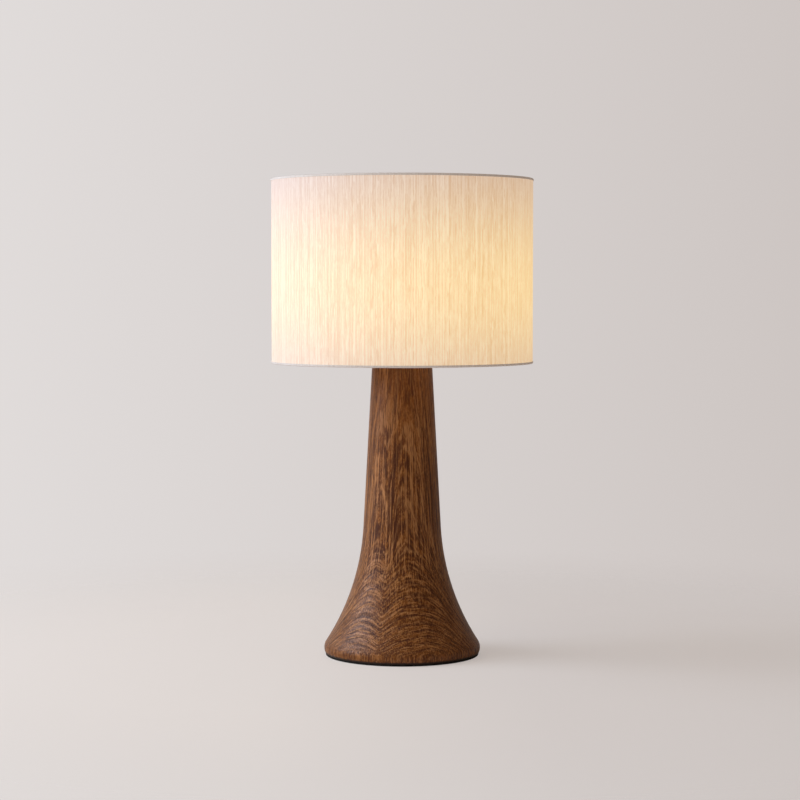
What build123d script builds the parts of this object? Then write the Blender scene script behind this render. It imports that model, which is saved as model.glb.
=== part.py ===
from build123d import *

import math
import os

# Wooden table lamp: a turned base, a screw lampholder with a turn-knob switch, an opal bulb and a drum shade.
# Millimetres, +Z up. The origin is the middle of the pad's underside, and the front of the lamp faces -Y.

# Turned base and its pad
COLUMN_HEIGHT = 282.0
NECK_RADIUS = 29.1
NECK_CHAMFER = 1.5
TAPER_ANGLE = 3.1
FLARE_RADIUS = 229.5
FOOT_RADIUS = 76.0
FOOT_EDGE_RADIUS = 11.1
FOOT_WIDEST_HEIGHT = 5.0
PAD_THICKNESS = 2.0
PAD_INSET = 1.5

# Rod that clamps the base together, with the ballast under the foot
ROD_RADIUS = 5.0
ROD_BORE_RADIUS = 3.75
ROD_CLEARANCE = 0.3
ROD_PROTRUSION = 2.5
RECESS_RADIUS = 52.0
RECESS_FLOOR_GAP = 4.5
BALLAST_THICKNESS = 9.0
BALLAST_CLEARANCE = 0.8
BALLAST_CHAMFER = 1.5
WASHER_RADIUS = 13.0
WASHER_THICKNESS = 2.0
LOCK_WASHER_RADIUS = 8.8
LOCK_WASHER_THICKNESS = 2.2
LOCK_WASHER_SLIT = 1.6
NUT_WIDTH = 15.0
BOTTOM_NUT_HEIGHT = 6.0
TOP_NUT_HEIGHT = 4.5
NUT_CHAMFER = 0.7
NECK_CAP_THICKNESS = 2.0
NECK_CAP_INSET = 3.0
NECK_CAP_CHAMFER = 0.8

# Cord inlet at the rear of the foot
CORD_BORE_RADIUS = 3.5
CORD_BUSH_RADIUS = 5.0
CORD_FLANGE_RADIUS = 6.8
CORD_FLANGE_THICKNESS = 2.0
CORD_HEIGHT = 11.0
CORD_SEAT_DEPTH = 8.0
CORD_CLEARANCE = 0.2

# Lampholder shells
HOLDER_RADIUS = 19.5
HOLDER_WALL = 2.0
HOLDER_CAP_HEIGHT = 26.0
HOLDER_HUB_RADIUS = 10.5
HOLDER_HUB_HEIGHT = 5.0
FLANGE_RADIUS = 24.0
FLANGE_THICKNESS = 3.0
SKIRT_RADIUS = 20.0
SKIRT_WALL = 2.3
SKIRT_HEIGHT = 38.0
SKIRT_LIP = 2.0
SKIRT_LIP_HEIGHT = 3.0
ENTRY_RADIUS = 7.0
ENTRY_FLANGE_RADIUS = 9.0
ENTRY_FLANGE_THICKNESS = 1.2
ENTRY_CLEARANCE = 0.15
ROD_STANDOFF = 0.8
GRUB_RADIUS = 1.5
GRUB_HEAD_GAP = 1.0

# Ceramic insert and contacts
INSERT_CLEARANCE = 0.3
INSERT_FLANGE_THICKNESS = 1.5
INSERT_FLANGE_RADIUS = 18.4
INSERT_DEPTH = 4.0
INSERT_FLOOR = 4.0
INSERT_CUP_HEIGHT = 24.0
SHELL_WALL = 0.5
SHELL_STEP = 2.0
THREAD_CLEARANCE = 0.35
CONTACT_THICKNESS = 0.5
CONTACT_WIDTH = 5.0
CONTACT_RISE = 3.2
CONTACT_REACH = 3.6
CONTACT_ROOT = 9.0
CONTACT_GAP = 0.2
TERMINAL_OFFSET = 11.5
TERMINAL_RADIUS = 1.4
TERMINAL_LENGTH = 3.5
TERMINAL_HEAD_RADIUS = 2.3
TERMINAL_HEAD_HEIGHT = 1.8

# Turn-knob switch, on an axis along +X
SWITCH_AXIS_HEIGHT = 16.0
BLOCK_RADIUS = 14.0
BLOCK_WIDTH = 17.0
BLOCK_HEIGHT = 11.5
ROTOR_RADIUS = 4.4
ROTOR_LENGTH = 14.0
ROTOR_FLAT = 0.8
SPINDLE_RADIUS = 2.2
SPINDLE_GRIP = 9.0
RUNNING_CLEARANCE = 0.3
BOSS_RADIUS = 5.0
BOSS_LENGTH = 2.0
KNOB_RADIUS = 7.0
KNOB_LENGTH = 14.0
KNOB_ROUND = 1.5
KNOB_FLUTES = 12
FLUTE_RADIUS = 0.9
KNOB_GAP = 0.4

# Drum shade and its wire frame
SHADE_RADIUS = 127.0
SHADE_HEIGHT = 178.0
FABRIC_THICKNESS = 0.6
LINER_THICKNESS = 0.5
TRIM_THICKNESS = 0.5
TRIM_LIP = 3.0
TRIM_ROUND = 1.2
HOOP_WIRE_RADIUS = 1.75
HOOP_GAP = 0.1
FITTER_DROP = 35.5
FITTER_RADIUS = 28.0
FITTER_THICKNESS = 2.0
FITTER_CLEARANCE = 0.5
ARM_COUNT = 3
ARM_WIRE_RADIUS = 1.5
ARM_BEND_RADIUS = 14.0
CLAMP_RADIUS = 25.5
CLAMP_HEIGHT = 9.0
CLAMP_CLEARANCE = 0.2
CLAMP_RIM_HEIGHT = 3.0
CLAMP_COLLAR_RADIUS = 23.5
CLAMP_NOTCHES = 18
CLAMP_NOTCH_RADIUS = 1.2

# Opal bulb with a 27 mm screw cap
BULB_LENGTH = 78.0
GLOBE_RADIUS = 22.5
GLASS_WALL = 0.8
NECK_GLASS_RADIUS = 11.9
NECK_BLEND_RADIUS = 12.0
GLASS_SOCKET_DEPTH = 7.0
CAP_RADIUS = 13.1
CAP_WALL = 0.4
CAP_LENGTH = 22.0
TIP_RADIUS = 4.4
TIP_HEIGHT = 1.4
INSULATOR_RADIUS = 9.5
INSULATOR_HEIGHT = 4.0
STEM_FOOT_THICKNESS = 1.5
STEM_CONE_RADIUS = 6.0
STEM_CONE_HEIGHT = 12.0
STEM_RADIUS = 2.4
STEM_BUTTON = 1.2
STEM_GAP = 0.1
FILAMENT_COUNT = 4
FILAMENT_RADIUS = 0.8
FILAMENT_LENGTH = 26.0
FILAMENT_CIRCLE = 7.0
FILAMENT_BASE = 22.0
SUPPORT_RADIUS = 0.4
SUPPORT_OVERHANG = 0.9

# Heights of the faces where the pieces meet
wood_bottom_z = PAD_THICKNESS
wood_top_z = wood_bottom_z + COLUMN_HEIGHT
rod_nut_stack = WASHER_THICKNESS + LOCK_WASHER_THICKNESS + BOTTOM_NUT_HEIGHT
recess_depth = BALLAST_THICKNESS + rod_nut_stack + ROD_PROTRUSION + RECESS_FLOOR_GAP
recess_top_z = wood_bottom_z + recess_depth
ballast_bottom_z = recess_top_z - BALLAST_THICKNESS
washer_bottom_z = ballast_bottom_z - WASHER_THICKNESS
lock_washer_bottom_z = washer_bottom_z - LOCK_WASHER_THICKNESS
bottom_nut_z = lock_washer_bottom_z - BOTTOM_NUT_HEIGHT
rod_bottom_z = bottom_nut_z - ROD_PROTRUSION
top_nut_z = wood_top_z + NECK_CAP_THICKNESS
holder_z = top_nut_z + TOP_NUT_HEIGHT
cavity_z = holder_z + HOLDER_HUB_HEIGHT + HOLDER_WALL
entry_top_z = cavity_z + ENTRY_FLANGE_THICKNESS
rod_top_z = entry_top_z + ROD_STANDOFF
switch_z = holder_z + SWITCH_AXIS_HEIGHT
flange_z = holder_z + HOLDER_CAP_HEIGHT
fitter_z = flange_z + FLANGE_THICKNESS
grub_z = holder_z + HOLDER_HUB_HEIGHT / 2
insert_bottom_z = flange_z - INSERT_DEPTH
insert_floor_z = flange_z + INSERT_FLOOR
contact_top_z = insert_floor_z + CONTACT_RISE + CONTACT_THICKNESS
bulb_z = contact_top_z + CONTACT_GAP
bulb_cap_z = bulb_z + TIP_HEIGHT + INSULATOR_HEIGHT
glass_low_z = bulb_cap_z + CAP_LENGTH - GLASS_SOCKET_DEPTH
filament_low_z = glass_low_z + FILAMENT_BASE
filament_top_z = filament_low_z + FILAMENT_LENGTH
stem_top_z = filament_top_z + 2 * SUPPORT_RADIUS + STEM_BUTTON
shade_bottom_z = fitter_z - FITTER_DROP
shade_top_z = shade_bottom_z + SHADE_HEIGHT

# Radii shared by pieces that fit into each other
rod_hole_radius = ROD_RADIUS + ROD_CLEARANCE
cap_inner_radius = HOLDER_RADIUS - HOLDER_WALL
skirt_inner_radius = SKIRT_RADIUS - SKIRT_WALL
shell_inner_radius = CAP_RADIUS + THREAD_CLEARANCE
shell_outer_radius = shell_inner_radius + SHELL_WALL
insert_cup_radius = skirt_inner_radius - INSERT_CLEARANCE
insert_body_radius = cap_inner_radius - INSERT_CLEARANCE
fabric_outer_radius = SHADE_RADIUS - TRIM_THICKNESS
liner_outer_radius = fabric_outer_radius - FABRIC_THICKNESS
liner_inner_radius = liner_outer_radius - LINER_THICKNESS
hoop_radius = liner_inner_radius - HOOP_GAP - HOOP_WIRE_RADIUS
trim_inner_radius = hoop_radius - HOOP_WIRE_RADIUS - HOOP_GAP - TRIM_THICKNESS
hoop_inset = TRIM_THICKNESS + HOOP_GAP + HOOP_WIRE_RADIUS
knob_start_x = HOLDER_RADIUS + BOSS_LENGTH + KNOB_GAP
cord_seat_y = FOOT_RADIUS - CORD_SEAT_DEPTH
cord_z = wood_bottom_z + CORD_HEIGHT

STANDING = (Align.CENTER, Align.CENTER, Align.MIN)


def turned(outline):
    """Revolve a closed outline, drawn as radius and height, about the lamp's axis."""
    return revolve(Plane.XZ * make_face(outline), Axis.Z)


def turned_polygon(*points):
    """Revolve a polygon of (radius, height) corners about the lamp's axis."""
    return turned(Polyline(*points, close=True))


def disc(radius, low_z, high_z):
    """Upright cylinder on the lamp's axis between two heights."""
    return Pos(0, 0, low_z) * Cylinder(radius, high_z - low_z, align=STANDING)


def ring(outer_radius, inner_radius, low_z, high_z):
    """Upright tube on the lamp's axis between two heights."""
    return disc(outer_radius, low_z, high_z) - disc(inner_radius, low_z, high_z)


def bar_along_x(radius, start_x, end_x, z):
    """Round bar parallel to X, over the lamp's axis, at height z."""
    return Pos(start_x, 0, z) * Rot(0, 90, 0) * Cylinder(radius, end_x - start_x, align=STANDING)


def bar_along_y(radius, start_y, end_y, z):
    """Round bar parallel to Y, over the lamp's axis, at height z."""
    return Pos(0, start_y, z) * Rot(-90, 0, 0) * Cylinder(radius, end_y - start_y, align=STANDING)


def around(count, piece):
    """Copies of a piece, evenly spaced about the lamp's axis."""
    return [Rot(0, 0, step * 360 / count) * piece for step in range(count)]


def bead(radius, height, edge):
    """Standing cylinder whose two rims are chamfered, to trim the corners of a hexagon."""
    inner = radius - edge
    return turned_polygon(
        (0, 0), (inner, 0), (radius, edge), (radius, height - edge), (inner, height), (0, height)
    )


def hex_nut(low_z, height):
    """Chamfered hexagon nut on the rod."""
    corner_radius = NUT_WIDTH / math.sqrt(3)
    hexagon = extrude(RegularPolygon(corner_radius, 6), height) & bead(corner_radius, height, NUT_CHAMFER)
    return Pos(0, 0, low_z) * hexagon - disc(ROD_RADIUS, low_z, low_z + height)


def wood_outline():
    """Half outline of the turned base above its underside: taper, flare arc and foot edge, tangent in turn.

    The flare's circle touches the taper's line and, from outside, the circle of the foot's edge.
    """
    taper = math.radians(TAPER_ANGLE)
    down = Vector(math.sin(taper), -math.cos(taper))
    out = Vector(math.cos(taper), math.sin(taper))
    neck = Vector(NECK_RADIUS, COLUMN_HEIGHT)
    edge_centre = Vector(FOOT_RADIUS - FOOT_EDGE_RADIUS, FOOT_WIDEST_HEIGHT)
    offset = edge_centre - neck - out * FLARE_RADIUS
    along = offset.dot(down)
    reach = FLARE_RADIUS + FOOT_EDGE_RADIUS
    run = along - math.sqrt(reach**2 - (offset.length**2 - along**2))
    taper_end = neck + down * run
    flare_centre = taper_end + out * FLARE_RADIUS
    flare_end = edge_centre + (flare_centre - edge_centre).normalized() * FOOT_EDGE_RADIUS
    halfway = (taper_end + flare_end) * 0.5 - flare_centre
    flare_middle = flare_centre + halfway.normalized() * FLARE_RADIUS
    widest = Vector(FOOT_RADIUS, FOOT_WIDEST_HEIGHT)
    sole = Vector(sole_radius(), 0)
    shoulder = neck + down * NECK_CHAMFER
    return Curve() + [
        Polyline(
            sole,
            (RECESS_RADIUS, 0),
            (RECESS_RADIUS, recess_depth),
            (rod_hole_radius, recess_depth),
            (rod_hole_radius, COLUMN_HEIGHT),
            (NECK_RADIUS - NECK_CHAMFER, COLUMN_HEIGHT),
            shoulder,
            taper_end,
        ),
        ThreePointArc(taper_end, flare_middle, flare_end),
        ThreePointArc(flare_end, widest, sole),
    ]


def sole_radius():
    """Radius of the wood's flat underside, where the foot's edge round meets it."""
    return FOOT_RADIUS - FOOT_EDGE_RADIUS + math.sqrt(FOOT_EDGE_RADIUS**2 - FOOT_WIDEST_HEIGHT**2)


def wood_column():
    """Turned base with its recess, rod bore and rear cord hole, which is spot-faced for the bush."""
    body = Pos(0, 0, wood_bottom_z) * turned(wood_outline())
    body -= bar_along_y(CORD_BUSH_RADIUS, 0, FOOT_RADIUS, cord_z) - disc(RECESS_RADIUS, 0, wood_top_z)
    return body - bar_along_y(CORD_FLANGE_RADIUS + CORD_CLEARANCE, cord_seat_y, FOOT_RADIUS, cord_z)


def foot_pad():
    """Flat pad that covers the recess and keeps the wood off the table."""
    return disc(sole_radius() - PAD_INSET, 0, PAD_THICKNESS)


def ballast_disc():
    """Iron weight against the roof of the recess, chamfered below."""
    radius = RECESS_RADIUS - BALLAST_CLEARANCE
    return turned_polygon(
        (rod_hole_radius, recess_top_z),
        (radius, recess_top_z),
        (radius, ballast_bottom_z + BALLAST_CHAMFER),
        (radius - BALLAST_CHAMFER, ballast_bottom_z),
        (rod_hole_radius, ballast_bottom_z),
    )


def lock_washer():
    """Spring washer with its slit."""
    washer = ring(LOCK_WASHER_RADIUS, rod_hole_radius, lock_washer_bottom_z, washer_bottom_z)
    middle_z = (lock_washer_bottom_z + washer_bottom_z) / 2
    slit = Pos(LOCK_WASHER_RADIUS / 2, 0, middle_z) * Box(
        LOCK_WASHER_RADIUS, LOCK_WASHER_SLIT, LOCK_WASHER_THICKNESS
    )
    return washer - slit


def neck_cap():
    """Turned cap between the wood and the upper nut."""
    radius = NECK_RADIUS - NECK_CAP_INSET
    return turned_polygon(
        (rod_hole_radius, wood_top_z),
        (radius, wood_top_z),
        (radius, top_nut_z - NECK_CAP_CHAMFER),
        (radius - NECK_CAP_CHAMFER, top_nut_z),
        (rod_hole_radius, top_nut_z),
    )


def cord_bush():
    """Flanged bush that lines the cord hole from the foot's rear to the recess."""
    bush = bar_along_y(CORD_BUSH_RADIUS, 0, cord_seat_y, cord_z) - disc(RECESS_RADIUS, 0, wood_top_z)
    bush += bar_along_y(CORD_FLANGE_RADIUS, cord_seat_y, cord_seat_y + CORD_FLANGE_THICKNESS, cord_z)
    return bush - bar_along_y(CORD_BORE_RADIUS, 0, FOOT_RADIUS, cord_z)


def cap_outline():
    """Half outline of the holder's lower shell: hub, bowl-shaped shoulder and straight wall."""
    shoulder = HOLDER_RADIUS - HOLDER_HUB_RADIUS
    shoulder_z = holder_z + HOLDER_HUB_HEIGHT + shoulder
    slant = math.sqrt(0.5)
    outer_middle = (HOLDER_HUB_RADIUS + shoulder * slant, shoulder_z - shoulder * slant)
    inner = shoulder - HOLDER_WALL
    inner_middle = (HOLDER_HUB_RADIUS + inner * slant, shoulder_z - inner * slant)
    rebate_z = flange_z - INSERT_FLANGE_THICKNESS
    rebate_radius = INSERT_FLANGE_RADIUS + INSERT_CLEARANCE
    hub_top_z = holder_z + HOLDER_HUB_HEIGHT
    return Curve() + [
        Polyline(
            (HOLDER_HUB_RADIUS, cavity_z),
            (ENTRY_RADIUS, cavity_z),
            (ENTRY_RADIUS, holder_z),
            (HOLDER_HUB_RADIUS, holder_z),
            (HOLDER_HUB_RADIUS, hub_top_z),
        ),
        ThreePointArc((HOLDER_HUB_RADIUS, hub_top_z), outer_middle, (HOLDER_RADIUS, shoulder_z)),
        Polyline(
            (HOLDER_RADIUS, shoulder_z),
            (HOLDER_RADIUS, flange_z),
            (rebate_radius, flange_z),
            (rebate_radius, rebate_z),
            (cap_inner_radius, rebate_z),
            (cap_inner_radius, shoulder_z),
        ),
        ThreePointArc((cap_inner_radius, shoulder_z), inner_middle, (HOLDER_HUB_RADIUS, cavity_z)),
    ]


def holder_cap():
    """Lower shell of the lampholder, with the spindle's boss and the hole of the grub screw."""
    shell = turned(cap_outline())
    boss = bar_along_x(BOSS_RADIUS, 0, HOLDER_RADIUS + BOSS_LENGTH, switch_z)
    shell += boss - disc(cap_inner_radius + HOLDER_WALL / 2, holder_z, flange_z)
    shell -= bar_along_x(SPINDLE_RADIUS + RUNNING_CLEARANCE, 0, HOLDER_RADIUS + BOSS_LENGTH, switch_z)
    return shell - grub_hole()


def grub_hole():
    """Drilling for the grub screw, from the front of the hub to the rod."""
    drill = bar_along_y(GRUB_RADIUS, -HOLDER_HUB_RADIUS, 0, grub_z)
    return drill - disc(ROD_RADIUS, holder_z, flange_z)


def grub_screw():
    """Screw that locks the holder on the rod, sunk below the hub's face."""
    head_y = -HOLDER_HUB_RADIUS + GRUB_HEAD_GAP
    return bar_along_y(GRUB_RADIUS, head_y, 0, grub_z) - disc(ROD_RADIUS, holder_z, flange_z)


def entry_insert():
    """Threaded metal insert in the hub, flanged on the inside of the shell."""
    inner_radius = ROD_RADIUS + ENTRY_CLEARANCE
    insert = turned_polygon(
        (inner_radius, holder_z),
        (ENTRY_RADIUS, holder_z),
        (ENTRY_RADIUS, cavity_z),
        (ENTRY_FLANGE_RADIUS, cavity_z),
        (ENTRY_FLANGE_RADIUS, entry_top_z),
        (inner_radius, entry_top_z),
    )
    return insert - grub_hole()


def switch_block():
    """Moulded block under the ceramic insert, flat at front and rear, with the rotor's bore."""
    round_block = disc(BLOCK_RADIUS, insert_bottom_z - BLOCK_HEIGHT, insert_bottom_z)
    slab = Pos(0, 0, insert_bottom_z - BLOCK_HEIGHT) * Box(
        2 * BLOCK_RADIUS, BLOCK_WIDTH, BLOCK_HEIGHT, align=STANDING
    )
    bore_start_x = -ROTOR_LENGTH / 2 - RUNNING_CLEARANCE
    bore = bar_along_x(ROTOR_RADIUS + RUNNING_CLEARANCE, bore_start_x, BLOCK_RADIUS, switch_z)
    return (round_block & slab) - bore


def switch_rotor():
    """Contact drum that turns in the block, flattened where its contact plate sits."""
    drum = bar_along_x(ROTOR_RADIUS, -ROTOR_LENGTH / 2, ROTOR_LENGTH / 2, switch_z)
    plate = Pos(0, 0, switch_z + ROTOR_RADIUS - ROTOR_FLAT) * Box(
        ROTOR_LENGTH, 2 * ROTOR_RADIUS, ROTOR_FLAT, align=STANDING
    )
    return drum - plate


def switch_spindle():
    """Shaft from the rotor through the shell's boss into the knob."""
    return bar_along_x(SPINDLE_RADIUS, ROTOR_LENGTH / 2, knob_start_x + SPINDLE_GRIP, switch_z)


def switch_knob():
    """Fluted turn knob with a rounded end and a blind bore for the spindle."""
    body = bar_along_x(KNOB_RADIUS, knob_start_x, knob_start_x + KNOB_LENGTH, switch_z)
    body = fillet(body.edges().filter_by(GeomType.CIRCLE).sort_by(Axis.X)[-1], KNOB_ROUND)
    for step in range(KNOB_FLUTES):
        angle = math.radians(step * 360 / KNOB_FLUTES)
        flute = bar_along_x(FLUTE_RADIUS, knob_start_x, knob_start_x + KNOB_LENGTH, switch_z)
        body -= Pos(0, KNOB_RADIUS * math.cos(angle), KNOB_RADIUS * math.sin(angle)) * flute
    return body - bar_along_x(SPINDLE_RADIUS, knob_start_x, knob_start_x + SPINDLE_GRIP, switch_z)


def holder_insert():
    """Ceramic cup that carries the contacts, with a flange clamped between the two shells."""
    flange_low_z = flange_z - INSERT_FLANGE_THICKNESS
    cup_top_z = insert_floor_z + INSERT_CUP_HEIGHT
    cup = turned_polygon(
        (0, insert_bottom_z),
        (insert_body_radius, insert_bottom_z),
        (insert_body_radius, flange_low_z),
        (INSERT_FLANGE_RADIUS, flange_low_z),
        (INSERT_FLANGE_RADIUS, flange_z),
        (insert_cup_radius, flange_z),
        (insert_cup_radius, cup_top_z),
        (shell_outer_radius, cup_top_z),
        (shell_outer_radius, insert_floor_z),
        (0, insert_floor_z),
    )
    hole = disc(TERMINAL_RADIUS, insert_bottom_z, insert_bottom_z + TERMINAL_LENGTH)
    for offset in (-TERMINAL_OFFSET, TERMINAL_OFFSET):
        cup -= Pos(0, offset, 0) * hole
    return cup


def terminal_screws():
    """The two wire screws under the ceramic insert."""
    shank = disc(TERMINAL_RADIUS, insert_bottom_z, insert_bottom_z + TERMINAL_LENGTH)
    screw = shank + disc(TERMINAL_HEAD_RADIUS, insert_bottom_z - TERMINAL_HEAD_HEIGHT, insert_bottom_z)
    return [Pos(0, offset, 0) * screw for offset in (-TERMINAL_OFFSET, TERMINAL_OFFSET)]


def screw_shell():
    """Metal thread sleeve that lines the ceramic cup."""
    top_z = insert_floor_z + INSERT_CUP_HEIGHT - SHELL_STEP
    return ring(shell_outer_radius, shell_inner_radius, insert_floor_z, top_z)


def centre_contact():
    """Leaf spring on the floor of the cup, cranked up to meet the bulb's tip."""
    rise_z = insert_floor_z + CONTACT_RISE
    strip = Polyline(
        (-CONTACT_ROOT, insert_floor_z),
        (-CONTACT_REACH, insert_floor_z),
        (0, rise_z),
        (CONTACT_REACH, rise_z),
        (CONTACT_REACH, rise_z + CONTACT_THICKNESS),
        (-CONTACT_THICKNESS, rise_z + CONTACT_THICKNESS),
        (-CONTACT_REACH - CONTACT_THICKNESS, insert_floor_z + CONTACT_THICKNESS),
        (-CONTACT_ROOT, insert_floor_z + CONTACT_THICKNESS),
        close=True,
    )
    return extrude(Plane.XZ * make_face(strip), CONTACT_WIDTH / 2, both=True)


def holder_skirt():
    """Upper shell: flange that the shade sits on, long sleeve and a mouth drawn in over the insert."""
    top_z = flange_z + SKIRT_HEIGHT
    return turned_polygon(
        (skirt_inner_radius, flange_z),
        (FLANGE_RADIUS, flange_z),
        (FLANGE_RADIUS, fitter_z),
        (SKIRT_RADIUS, fitter_z),
        (SKIRT_RADIUS, top_z),
        (skirt_inner_radius - SKIRT_LIP, top_z),
        (skirt_inner_radius - SKIRT_LIP, top_z - SKIRT_LIP_HEIGHT + SKIRT_LIP),
        (skirt_inner_radius, top_z - SKIRT_LIP_HEIGHT),
    )


def shade_clamp_ring():
    """Notched ring on the sleeve's thread, which holds the shade down."""
    low_z = fitter_z + FITTER_THICKNESS + CLAMP_CLEARANCE
    inner_radius = SKIRT_RADIUS + CLAMP_CLEARANCE
    body = turned_polygon(
        (inner_radius, low_z),
        (CLAMP_RADIUS, low_z),
        (CLAMP_RADIUS, low_z + CLAMP_RIM_HEIGHT),
        (CLAMP_COLLAR_RADIUS, low_z + CLAMP_RIM_HEIGHT),
        (CLAMP_COLLAR_RADIUS, low_z + CLAMP_HEIGHT),
        (inner_radius, low_z + CLAMP_HEIGHT),
    )
    notch = Pos(CLAMP_RADIUS, 0, 0) * disc(CLAMP_NOTCH_RADIUS, low_z, low_z + CLAMP_RIM_HEIGHT)
    return body - around(CLAMP_NOTCHES, notch)


def shade_hoop(z):
    """Wire hoop that keeps one end of the drum round."""
    return Pos(0, 0, z) * Torus(hoop_radius, HOOP_WIRE_RADIUS)


def shade_trim():
    """Rolled hem over the drum's lower edge: a channel round the wall and its hoop, rounded at the crest."""
    band = make_face(
        Polyline(
            (trim_inner_radius, 0),
            (SHADE_RADIUS, 0),
            (SHADE_RADIUS, TRIM_LIP),
            (trim_inner_radius, TRIM_LIP),
            close=True,
        )
    )
    band = fillet(band.vertices().sort_by(Axis.Y)[:2], TRIM_ROUND)
    groove = make_face(
        Polyline(
            (trim_inner_radius + TRIM_THICKNESS, TRIM_THICKNESS),
            (fabric_outer_radius, TRIM_THICKNESS),
            (fabric_outer_radius, TRIM_LIP),
            (trim_inner_radius + TRIM_THICKNESS, TRIM_LIP),
            close=True,
        )
    )
    return revolve(Plane.XZ * (band - groove), Axis.Z)


def shade_fitter_ring():
    """Flat ring that drops over the holder's sleeve and sits on its flange."""
    return ring(FITTER_RADIUS, SKIRT_RADIUS + FITTER_CLEARANCE, fitter_z, fitter_z + FITTER_THICKNESS)


def shade_arms():
    """Bent wires from the fitter ring out and down to the lower hoop, coped onto both."""
    arm_z = fitter_z + FITTER_THICKNESS / 2
    hoop_z = shade_bottom_z + hoop_inset
    route = FilletPolyline(
        (SKIRT_RADIUS, arm_z), (hoop_radius, arm_z), (hoop_radius, hoop_z), radius=ARM_BEND_RADIUS
    )
    path = Plane.XZ * route
    section = Plane(path @ 0, z_dir=path % 0) * Circle(ARM_WIRE_RADIUS)
    arm = sweep(section, path) - disc(FITTER_RADIUS, shade_bottom_z, shade_top_z) - shade_hoop(hoop_z)
    return [Rot(0, 0, 90) * copy for copy in around(ARM_COUNT, arm)]


def glass_solid(wall):
    """Solid body of the bulb's glass, inset by a wall: neck, blend arc and globe, tangent in turn."""
    globe = GLOBE_RADIUS - wall
    neck = NECK_GLASS_RADIUS - wall
    blend = NECK_BLEND_RADIUS + wall
    centre_z = bulb_z + BULB_LENGTH - GLOBE_RADIUS
    reach = GLOBE_RADIUS + NECK_BLEND_RADIUS
    blend_r = NECK_GLASS_RADIUS + NECK_BLEND_RADIUS
    drop = math.sqrt(reach**2 - blend_r**2)
    blend_z = centre_z - drop
    touch = (blend_r * globe / reach, centre_z - drop * globe / reach)
    half_turn = math.atan2(drop, blend_r) / 2
    blend_middle = (blend_r - blend * math.cos(half_turn), blend_z + blend * math.sin(half_turn))
    crown = (0, centre_z + globe)
    outline = Curve() + [
        Polyline(crown, (0, glass_low_z), (neck, glass_low_z), (neck, blend_z)),
        ThreePointArc((neck, blend_z), blend_middle, touch),
        ThreePointArc(touch, (globe, centre_z), crown),
    ]
    return turned(outline)


def bulb_globe():
    """Opal glass envelope, open at the neck where the stem closes it."""
    return glass_solid(0) - glass_solid(GLASS_WALL)


def bulb_cap():
    """Screw cap: thin sleeve drawn in at the bottom to the insulator."""
    sleeve_z = bulb_cap_z + CAP_RADIUS - INSULATOR_RADIUS
    top_z = bulb_cap_z + CAP_LENGTH
    inner_radius = CAP_RADIUS - CAP_WALL
    return turned_polygon(
        (INSULATOR_RADIUS, bulb_cap_z),
        (CAP_RADIUS, sleeve_z),
        (CAP_RADIUS, top_z),
        (NECK_GLASS_RADIUS, top_z),
        (NECK_GLASS_RADIUS, glass_low_z),
        (inner_radius, glass_low_z),
        (inner_radius, sleeve_z),
        (INSULATOR_RADIUS - CAP_WALL, bulb_cap_z + CAP_WALL),
        (INSULATOR_RADIUS - CAP_WALL, bulb_cap_z),
    )


def bulb_insulator():
    """Glass bead between the cap and the tip."""
    low_z = bulb_z + TIP_HEIGHT
    return turned_polygon(
        (0, low_z),
        (TIP_RADIUS, low_z),
        (INSULATOR_RADIUS, low_z + INSULATOR_HEIGHT),
        (0, low_z + INSULATOR_HEIGHT),
    )


def bulb_tip():
    """Soldered centre contact, slightly conical."""
    return turned_polygon(
        (0, bulb_z),
        (TIP_RADIUS - TIP_HEIGHT / 2, bulb_z),
        (TIP_RADIUS, bulb_z + TIP_HEIGHT),
        (0, bulb_z + TIP_HEIGHT),
    )


def bulb_stem():
    """Glass stem that closes the neck and carries the filaments."""
    foot_radius = NECK_GLASS_RADIUS - GLASS_WALL - STEM_GAP
    foot_z = glass_low_z + STEM_FOOT_THICKNESS
    return turned_polygon(
        (0, glass_low_z),
        (foot_radius, glass_low_z),
        (foot_radius, foot_z),
        (STEM_CONE_RADIUS, foot_z),
        (STEM_RADIUS, foot_z + STEM_CONE_HEIGHT),
        (STEM_RADIUS, stem_top_z),
        (0, stem_top_z),
    )


def bulb_filaments():
    """Light strips, upright on a circle round the stem."""
    strip = disc(FILAMENT_RADIUS, filament_low_z, filament_top_z)
    return around(FILAMENT_COUNT, Pos(FILAMENT_CIRCLE, 0, 0) * strip)


def bulb_support_wires():
    """Short wires from the stem to both ends of each light strip."""
    end_x = FILAMENT_CIRCLE + SUPPORT_OVERHANG
    lower_z = filament_low_z - SUPPORT_RADIUS
    core = disc(STEM_RADIUS, glass_low_z, stem_top_z)
    wires = []
    for z in (lower_z, filament_top_z + SUPPORT_RADIUS):
        wires += around(FILAMENT_COUNT, bar_along_x(SUPPORT_RADIUS, 0, end_x, z) - core)
    return wires


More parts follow.
